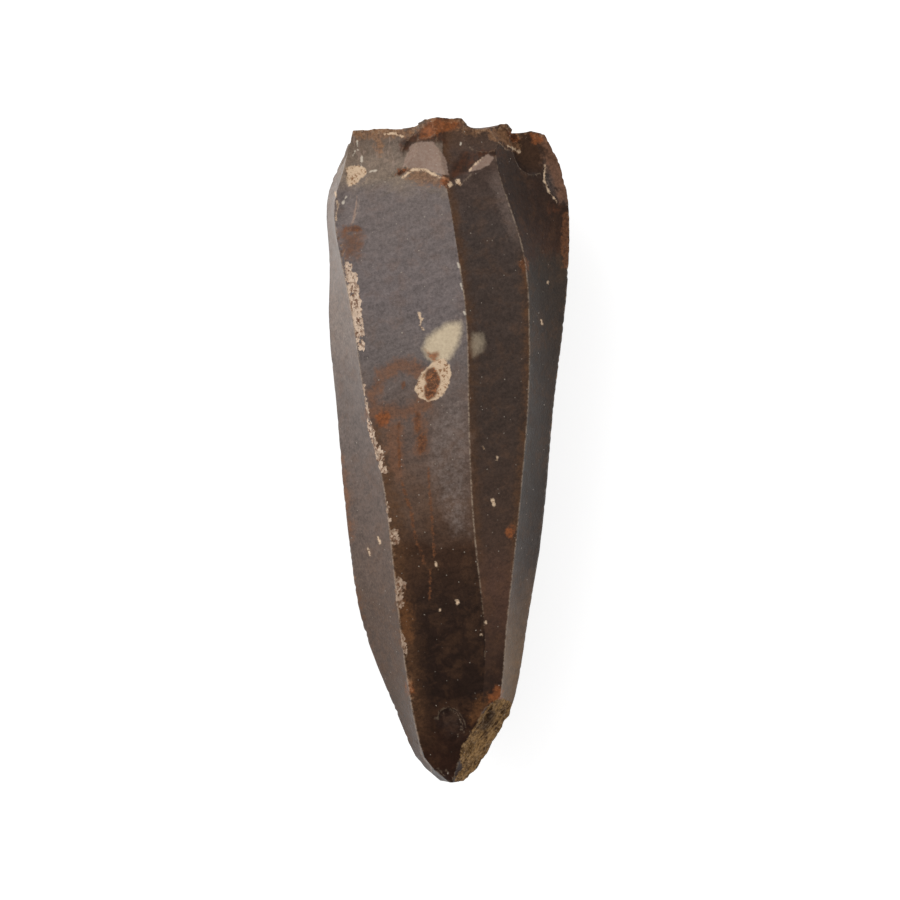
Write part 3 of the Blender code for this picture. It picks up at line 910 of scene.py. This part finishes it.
CRUSHED_LIGHT, CRUSHED_DEEP = tint(228, 202, 178), tint(118, 82, 60)
CORTEX_LIGHT, CORTEX_DEEP = tint(154, 120, 78), tint(66, 46, 29)
RIDGE_HIGHLIGHT, EDGE_LIGHT, SPECK = tint(158, 138, 120), tint(184, 162, 136), tint(178, 166, 152)


def frayed(depth, ragged, steps):
    """A depth whose edge is broken up by a noise, over a number of steps."""
    return depth + (ragged - 0.5) * steps


class Flint(Finish):
    """The stone's material, with the places, the marks and the noises that its layers share."""

    def __init__(self):
        super().__init__("flint")
        place = self.node("TexCoord", {}, {}, "Object")
        _, self.down, self.front = self.split(self.attribute("seen"))
        self.from_left, self.from_middle, self.from_right = self.split(self.attribute("beside"))
        self.marks = {}
        for number, names in enumerate(MARKS):
            self.marks.update(zip(names, self.split(self.attribute(f"marks_{number}"))))
        self.facet, self.look = self.number("facet"), self.number("look")
        self.keen, self.struck = self.number("keen"), self.number("struck")
        self.place = place
        self.clouds = self.noise(place, 9 * MM, 4.0, 0.6, 0.6)
        self.blotches = self.noise(place, 2.6 * MM, 4.0, 0.65, 0.4)
        self.mottle = self.noise(place, 1.1 * MM, 3.0, 0.65)
        self.grain = self.noise(place, 0.55 * MM, 3.0, 0.7)
        self.dust = self.noise(place, 0.22 * MM, 2.0, 0.7)
        self.fibres = self.noise(self.stretch(place, (2.2, 0.35, 1.0), 32), 0.8 * MM, 4.0, 0.7, 1.2)
        self.streaks = self.noise(self.stretch(place, (0.25, 1.6, 1.0), -22), 2.2 * MM, 3.0, 0.6, 0.5)
        self.threads = self.noise(self.stretch(place, (1.8, 0.16, 1.0)), 0.9 * MM, 3.0, 0.6, 0.3)
        self.flakes, _, _ = self.split(self.cells(place, 0.42 * MM, "Color"))

    def mark(self, name, ragged, steps):
        """How far inside a mark each point is, with the mark's edge broken up by a noise."""
        return frayed(self.marks[name], ragged, steps)

    def lay(self, over, mask):
        """Lays a colour over the stone's colour where the mask is 1."""
        self.colour = self.paint(self.colour, over, mask)

    def stain(self, deep, light, depth, soft, tone, strength):
        """A mottled stain between two colours, wherever the depth inside its mark is above 0."""
        self.lay(self.paint(deep, light, tone), self.rise(depth, -soft, soft) * strength)

    def scar_colours(self):
        """The colour down each blade scar, and how it turns across the scar: a painted light that lightens
        the right scar towards the right outline, and a lit strip beside the right ridge.
        """
        share = (frayed(self.down, self.clouds, 26) - VIEW_TOP) * (1 / (VIEW_BOTTOM - VIEW_TOP))
        scars = (LEFT_SCAR, MAIN_SCAR_AND_SHEEN, MIDDLE_SCAR, RIGHT_SCAR)
        ramps = [self.node("ValToRGB", {"stops": stops}, {"Fac": share}) for stops in scars]
        self.colour = ramps[0]
        for number in (1, 2, 3):
            self.lay(ramps[number], self.facet.is_number(number))
        # Painted light: the right scar's own colour, made lighter towards the right outline.
        painted_light_right = self.rise(self.from_right, -0.6, 0.6) * self.rise(self.from_right, 12, 34)
        self.lay(self.shade(self.colour, 1.28), painted_light_right * 0.8)
        lit = self.rise(frayed(self.from_right, self.mottle, 4), -15, -4)
        lit = lit * self.rise(self.from_right, 0.6, -0.6)
        lit = lit * self.rise(self.down, 165, 185) * self.rise(self.down, 262, 215)
        self.lay(LIT_STRIP, lit * 0.7)

    def ridge_light(self):
        """Brown light through the stone beside the ridges."""
        down, blotches, mottle = self.down, self.blotches, self.mottle
        middle = self.rise(self.from_middle, -0.8, 0.8)
        middle = middle * self.rise(frayed(self.from_middle, mottle, 5), 13, 0)
        middle = middle * self.rise(down, 640, 520) * (0.35 + blotches * 0.5)
        self.lay(BAND, middle)
        right = self.rise(self.from_right, 0.5, -0.5) * self.rise(frayed(self.from_right, mottle, 4), -11, -1)
        right = right * self.rise(down, 235, 270) * self.rise(down, 600, 520)
        self.lay(BAND, right * (0.2 + blotches * 0.7))
        left = self.rise(self.from_left, -0.5, 0.5) * self.rise(frayed(self.from_left, blotches, 12), 24, 2)
        left = left * self.rise(down, 405, 430) * self.rise(down, 770, 700)
        self.lay(BAND, left * (0.45 + mottle * 0.45))

    def clouded(self):
        """The stone's own clouds and grain."""
        down, blotches, mottle, clouds = self.down, self.blotches, self.mottle, self.clouds
        smoked = self.rise(self.mark("smoke", blotches, 10), -5, 9) * self.rise(down, 760, 600)
        self.lay(SMOKE, smoked * (0.15 + mottle * 0.5))
        hazed = self.rise(frayed(self.mark("haze", blotches, 6), mottle, 4), -6, 4)
        haze_tint = self.paint(HAZE, HAZE_LOW, self.rise(down, 500, 600))
        self.lay(haze_tint, hazed * (0.65 + mottle * 0.3))
        self.lay(BAND, self.rise(frayed(blotches, clouds, 0.8), 0.4, 1.1) * 0.22)
        tone = 0.46 + clouds * 0.12 + blotches * 0.16 + mottle * 0.16
        tone = tone + self.streaks * 0.22 + self.grain * 0.22 + self.dust * 0.20
        self.colour = self.shade(self.colour, tone)
        striped = self.rise(down, 178, 160) * self.rise(self.from_middle, -28, -50)
        self.lay(PALE, self.rise(self.threads, 0.55, 0.95) * striped * 0.6)

    def stained(self):
        """The rust and brown stains, the cream inclusion and the pale facets, and the dark mark: dark-brown
        stone with a painted shadow under the overhang at the platform's edge.
        """
        blotches, mottle, grain = self.blotches, self.mottle, self.grain
        half = grain * 0.5 + mottle * 0.5
        pale_tone, glow_tone = 0.7 + grain * 0.3, 0.85 + grain * 0.15
        glowing = 0.95 - self.facet.is_number(2) * 0.55
        self.stain(RUST_DEEP, RUST, self.mark("rust", mottle, 3), 1.6, grain, 0.75)
        # Dark-brown stone, and a painted shadow under the overhang at the platform's edge
        self.stain(DARK_AND_SHADOW, BROWN_SPOT, self.mark("dark", blotches, 4), 3.0, mottle, 0.85)
        self.stain(TAN_DEEP, TAN, self.mark("tan", mottle, 6), 3.0, half, 0.7)
        self.stain(RUST, PALE, self.mark("pale", mottle, 1.4), 0.9, pale_tone, 0.9)
        self.stain(RUST, GLOW, self.mark("glow", mottle, 2), 4.5, glow_tone, glowing)
        creamy = self.creamy() * 0.95
        self.lay(self.paint(TAN, CREAM, self.rise(mottle + grain, 0.2, 1.1)), creamy)
        spot, spot_tone = self.mark("brown", mottle, 3), self.rise(grain, 0.4, 1.1)
        self.stain(BROWN_SPOT, ORANGE, spot, 1.6, spot_tone, 0.92)
        blot = frayed(self.mark("orange", blotches, 4), mottle, 2)
        self.stain(RUST_DEEP, ORANGE, blot, 2.6, 0.25 + mottle * 0.4 + grain * 0.3, 0.85)
        self.colour = self.shade(self.colour, 0.93 + grain * 0.08 + blotches * 0.06)

    def creamy(self):
        """1 on the cream inclusion, and 0 elsewhere."""
        return self.rise(self.mark("cream", self.mottle, 2), -1.0, 1.0)

    def crushed(self):
        """1 on crushed stone, and 0 elsewhere."""
        return self.rise(self.look, CRUSHED - 0.6, CRUSHED - 0.4)

    def torn(self):
        """1 on the fibrous break, and 0 elsewhere."""
        return self.rise(self.mark("cortex", self.mottle, 2.5), -0.6, 0.8)

    def broken(self):
        """Broken stone: crushed ridges with painted light and shade on their chips, chips and the fibrous
        break.
        """
        mottle, torn = self.mottle, self.torn()
        # Painted light and shade on the crushed ridges: each chip a lighter or darker tone, and darker where
        # the chips bite deepest.
        chalk_tone_and_shade = (self.look - CRUSHED) * (0.9 / CRUSHED_TONES) + self.flakes * 0.3 + (mottle - 0.5) * 0.5
        chalk_tone_and_shade = chalk_tone_and_shade - self.rise(self.struck, 0.15, 0.5) * 0.55
        chalk = self.paint(CRUSHED_DEEP, CRUSHED_LIGHT, self.rise(chalk_tone_and_shade, -0.15, 0.85))
        chalk = self.paint(chalk, self.shade(BAND, 1.4), self.rise(self.down, 480, 560) * 0.45)
        self.lay(chalk, self.crushed() * 0.9)
        self.lay(self.paint(TAN_DEEP, TAN, mottle), self.look.is_number(BROWN) * 0.5)
        husk_tone = self.fibres * 0.5 + self.blotches * 0.5 + (self.grain - 0.5) * 0.5
        husk = self.paint(CORTEX_DEEP, CORTEX_LIGHT, self.rise(husk_tone, 0.1, 0.9))
        self.lay(husk, torn)
        self.lay(DARK_AND_SHADOW, self.rise(self.mark("dark", mottle, 3), -3, 3) * torn * 0.85)

    def lined(self):
        """Painted highlights along the ridges and the keen edges, painted glints, and specks."""
        down, mottle = self.down, self.mottle
        patchy = self.rise(frayed(mottle, self.grain, 0.6), 0.25, 0.75)
        left = self.rise(self.from_left.size(), 1.4, 0.3) * self.rise(down, 255, 265) * 0.6
        middle = self.rise(self.from_middle.size(), 1.3, 0.3) * self.rise(down, 258, 266)
        middle = middle * self.rise(down, 620, 540)
        right = self.rise(self.from_right.size(), 1.2, 0.3) * self.rise(down, 180, 200)
        right = right * self.rise(down, 705, 690)
        lines = left.most(middle * 0.7).most(right * 0.55)
        # Painted highlights on the worn ridge crests
        self.lay(RIDGE_HIGHLIGHT, lines * (0.25 + patchy * 0.6))
        self.lay(EDGE_LIGHT, self.keen * patchy * 0.2)
        # Painted glints
        self.lay(GLINT_WHITE, self.rise(self.mark("white", mottle, 1.6), -0.8, 0.8) * 0.7)
        chosen, _, _ = self.split(self.cells(self.place, 1.1 * MM, "Color"))
        specks = self.rise(frayed(self.cells(self.place, 1.1 * MM), self.dust, 0.12), 0.13, 0.07)
        self.lay(SPECK, specks * self.rise(chosen, 0.55, 1.0) * 0.7)

    def hidden_sides(self):
        """The plainer stone of the sides and the back."""
        clouds, blotches = self.clouds, self.blotches
        colour = self.paint(HIDDEN, HIDDEN_DARK, self.rise(frayed(clouds, blotches, 0.4), 0.0, 1.0))
        light = self.rise(frayed(self.streaks, clouds, 0.6), 0.1, 1.3)
        colour = self.paint(colour, HIDDEN_LIGHT, light * 0.35)
        colour = self.paint(colour, HIDDEN_TIP, self.rise(frayed(self.down, clouds, 60), 520, 720) * 0.85)
        return self.shade(colour, 0.82 + self.grain * 0.14 + self.mottle * 0.1 + blotches * 0.12)

    def blend(self, under, over, mask):
        """One number that turns into another where the mask is 1."""
        return self.node("Mix", {"data_type": "FLOAT"}, {0: mask, 2: under, 3: over})

    def lustre(self):
        """How rough the stone is: waxy, but dull on the cream, the crushed ridges and the break."""
        waxy = 0.30 + self.blotches * 0.12 + self.grain * 0.10
        rough = self.blend(waxy, 0.7, self.creamy().most(self.crushed()) * 0.8)
        return self.blend(rough, 0.9, self.torn())

    def bumps(self):
        """The finest roughness, stronger on crushed stone and along the fibres of the break."""
        height = self.grain * 0.6 + self.dust * 0.4 + self.mottle * 0.6
        height = height + self.flakes * self.crushed() * 2.0 + self.fibres * self.torn() * 4.0
        sockets = {"Height": height, "Strength": 0.4, "Distance": 0.06 * MM}
        return self.node("Bump", {}, sockets, "Normal")


def flint_finish():
    """Waxy grey flint that browns to one side, with a painted sheen on the main scar's grey, its cream
    inclusion, rust marks and crushed ridges.
    """
    stone = Flint()
    stone.scar_colours()
    stone.ridge_light()
    stone.clouded()
    stone.stained()
    stone.broken()
    stone.lined()
    shader = stone.shader
    stone.fill(shader.inputs["Base Color"], stone.paint(stone.hidden_sides(), stone.colour, stone.front))
    stone.fill(shader.inputs["Roughness"], stone.lustre())
    stone.fill(shader.inputs["Normal"], stone.bumps())
    shader.inputs["Specular IOR Level"].default_value = 0.10
    return stone.material


FLOOR_REACH = 3.0
FLOOR_COLOUR, FLOOR_ROUGHNESS, FLOOR_GLOW = (0.55, 0.55, 0.55, 1.0), 0.9, 0.72
PURE_WHITE = (1.0, 1.0, 1.0, 1.0)


def lay_floor():
    """A plain pale floor with a slight glow, as a lit studio sweep has."""
    mesh = bmesh.new()
    bmesh.ops.create_grid(mesh, x_segments=1, y_segments=1, size=FLOOR_REACH)
    data = bpy.data.meshes.new("floor")
    mesh.to_mesh(data)
    mesh.free()
    floor = bpy.data.objects.new("floor", data)
    bpy.context.scene.collection.objects.link(floor)
    paper = Finish("pale_paper")
    paper.shader.inputs["Base Color"].default_value = FLOOR_COLOUR
    paper.shader.inputs["Roughness"].default_value = FLOOR_ROUGHNESS
    paper.shader.inputs["Specular IOR Level"].default_value = 0.0
    paper.shader.inputs["Emission Color"].default_value = PURE_WHITE
    paper.shader.inputs["Emission Strength"].default_value = FLOOR_GLOW
    data.materials.append(paper.material)


# Each light's name, place, size and power, and the point that they all look at
LIGHTS = (
    ("window_light", (-0.75, 0.60, 0.80), 1.1, 9.0),
    ("fill_light", (0.9, -0.5, 0.9), 1.2, 2.5),
)
LIT_POINT = Vector((0.0, 0.0, 0.02))
ROOM_LIGHT = 0.50


def hang_light(name, place, size, power):
    """A soft square light that looks at the core."""
    lamp = bpy.data.lights.new(name, "AREA")
    lamp.size = size
    lamp.energy = power
    light = bpy.data.objects.new(name, lamp)
    light.location = place
    light.rotation_euler = (LIT_POINT - Vector(place)).to_track_quat("-Z", "Y").to_euler()
    bpy.context.scene.collection.objects.link(light)


def light_studio():
    """One large light from the upper left, a weak one opposite, and a pale room."""
    for name, place, size, power in LIGHTS:
        hang_light(name, place, size, power)
    room = bpy.data.worlds.new("pale_room")
    room.use_nodes = True
    room.node_tree.nodes["Background"].inputs["Color"].default_value = PURE_WHITE
    room.node_tree.nodes["Background"].inputs["Strength"].default_value = ROOM_LIGHT
    bpy.context.scene.world = room
    bpy.context.scene.view_settings.view_transform = "Standard"


def place_camera():
    """The camera looks straight down on the blade scars, with the platform at the top of the view."""
    lens = bpy.data.cameras.new("view")
    lens.sensor_width = SENSOR
    lens.lens = SENSOR * CAMERA_REACH / (2 * VIEW_MIDDLE * VIEW_STEP)
    lens.clip_start = 0.01
    camera = bpy.data.objects.new("view", lens)
    camera.location = CAMERA_PLACE
    bpy.context.scene.collection.objects.link(camera)
    bpy.context.scene.camera = camera


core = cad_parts["flint_core"]
stone = make_stone(core)
stone.data.materials.clear()
stone.data.materials.append(flint_finish())
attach(stone, "root")
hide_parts("flint_core")
lay_floor()
light_studio()
place_camera()
